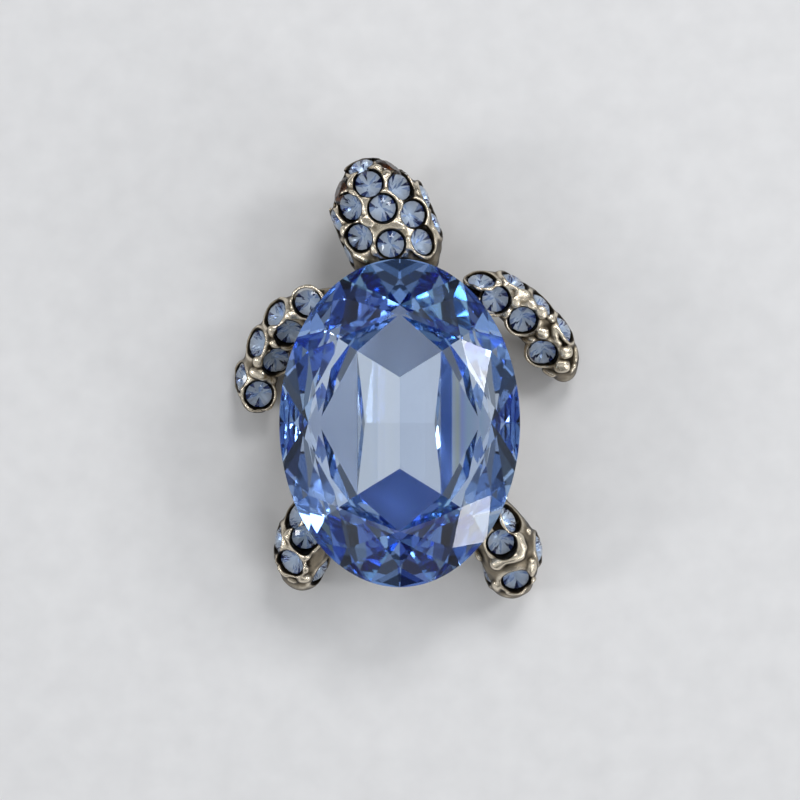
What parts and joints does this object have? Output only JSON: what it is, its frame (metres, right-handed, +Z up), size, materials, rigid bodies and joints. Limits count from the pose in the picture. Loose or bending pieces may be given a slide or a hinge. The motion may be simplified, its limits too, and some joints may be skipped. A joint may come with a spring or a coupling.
{
  "type": "turtle brooch",
  "caption": "Turtle brooch: a large oval cut stone as the shell on a cast gold-toned body with stone-set head, flippers and feet, pin on the back.",
  "frame": {"origin": "on the surface that the brooch lies on, under the middle of its footprint", "axes": "+Z up, out of the garment through the shell stone's table; +Y towards the turtle's head; +X to the right as seen from above"},
  "size_m": [0.0326, 0.041, 0.0127],
  "materials": {
    "antique_gold": "antiqued pale gold plate over cast metal, polished high spots and blackened recesses",
    "pin_metal": "satin pale gold plate",
    "pale_sapphire": "polished faceted stone, foiled behind",
    "brown_topaz": "polished faceted stone"
  },
  "bodies": {
    "root": {"casting": "antique_gold", "shell_stone": "pale_sapphire", "brooch_pin": "pin_metal", "head_stone_01": "pale_sapphire", "head_stone_02": "pale_sapphire", "head_stone_03": "pale_sapphire", "head_stone_04": "pale_sapphire", "head_stone_05": "pale_sapphire", "head_stone_06": "pale_sapphire", "head_stone_07": "pale_sapphire", "head_stone_08": "pale_sapphire", "head_stone_09": "pale_sapphire", "head_stone_10": "pale_sapphire", "head_stone_11": "pale_sapphire", "head_stone_12": "pale_sapphire", "head_stone_13": "pale_sapphire", "left_flipper_stone_1": "pale_sapphire", "left_flipper_stone_2": "pale_sapphire", "left_flipper_stone_3": "pale_sapphire", "left_flipper_stone_4": "pale_sapphire", "left_flipper_stone_5": "pale_sapphire", "left_flipper_stone_6": "pale_sapphire", "left_flipper_stone_7": "pale_sapphire", "right_flipper_stone_1": "pale_sapphire", "right_flipper_stone_2": "pale_sapphire", "right_flipper_stone_3": "pale_sapphire", "right_flipper_stone_4": "pale_sapphire", "right_flipper_stone_5": "pale_sapphire", "right_flipper_stone_6": "pale_sapphire", "right_flipper_stone_7": "pale_sapphire", "left_foot_stone_1": "pale_sapphire", "left_foot_stone_2": "pale_sapphire", "left_foot_stone_3": "pale_sapphire", "left_foot_stone_4": "pale_sapphire", "left_foot_stone_5": "pale_sapphire", "right_foot_stone_1": "pale_sapphire", "right_foot_stone_2": "pale_sapphire", "right_foot_stone_3": "pale_sapphire", "right_foot_stone_4": "pale_sapphire", "right_foot_stone_5": "pale_sapphire", "eye_stone_left": "brown_topaz", "eye_stone_right": "brown_topaz"}
  },
  "joints": []
}
